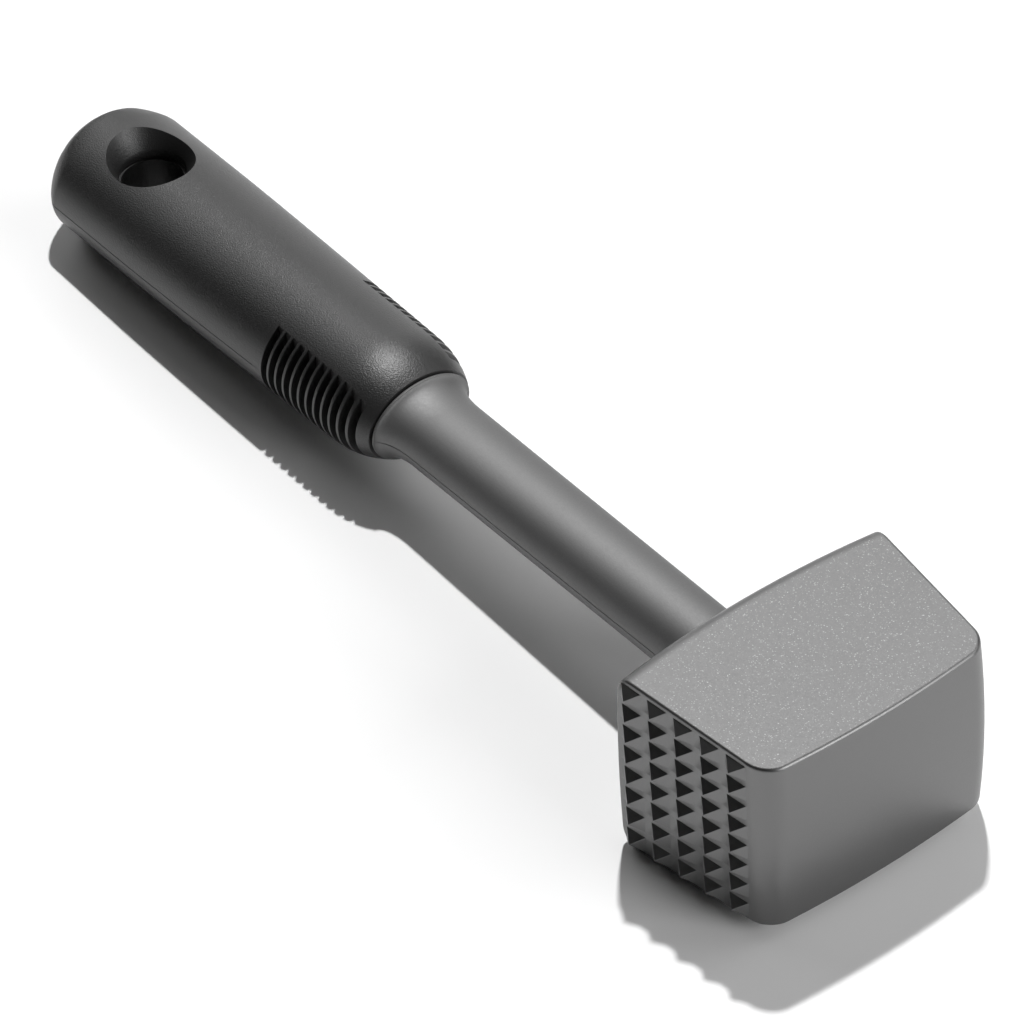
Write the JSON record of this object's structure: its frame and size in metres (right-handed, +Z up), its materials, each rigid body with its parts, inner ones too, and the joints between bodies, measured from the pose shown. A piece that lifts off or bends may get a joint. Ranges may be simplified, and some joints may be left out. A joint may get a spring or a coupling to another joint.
{
  "type": "meat tenderizer",
  "caption": "Two-faced meat tenderizer: cast head with pyramid teeth on one side and a smooth pounding face on the other, on a straight shank with a soft finned grip and hanging hole.",
  "frame": {"origin": "middle of the head's underside, which the head rests on", "axes": "+X along the handle and out of the head's far end, +Y towards the smooth pounding face, +Z up, square to the parting plane"},
  "size_m": [0.2515, 0.0658, 0.0436],
  "materials": {
    "cast_aluminium": "bead-blasted die casting",
    "core_plastic": "moulded",
    "grip_rubber": "moulded, fine matt grain"
  },
  "bodies": {
    "root": {"casting": "cast_aluminium", "grip_core": "core_plastic", "grip_sleeve": "grip_rubber"}
  },
  "joints": []
}
